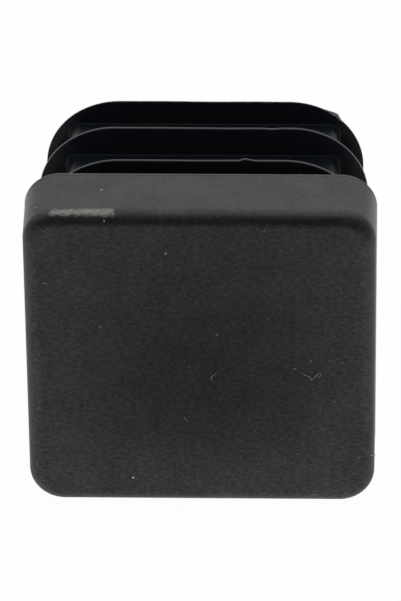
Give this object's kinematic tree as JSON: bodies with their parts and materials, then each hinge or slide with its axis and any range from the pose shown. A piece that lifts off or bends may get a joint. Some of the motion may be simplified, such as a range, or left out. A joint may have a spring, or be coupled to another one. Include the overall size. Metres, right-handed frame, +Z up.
{
  "type": "square tube end cap",
  "caption": "Square push-in cap for a tube end: flat head with rounded edges, and a hollow spigot ringed by thin flexible fins.",
  "frame": {"origin": "centre of the head's outer face", "axes": "+Y along the cap's axis, into the tube; +Z up, with the cap lying on one side wall of its head; +X across"},
  "size_m": [0.025, 0.0177, 0.025],
  "materials": {
    "black_polyethylene": "fine moulded grain, low sheen",
    "pale_lint": "loose dust and lint on the face"
  },
  "bodies": {
    "root": {"end_cap": "black_polyethylene"}
  },
  "joints": []
}
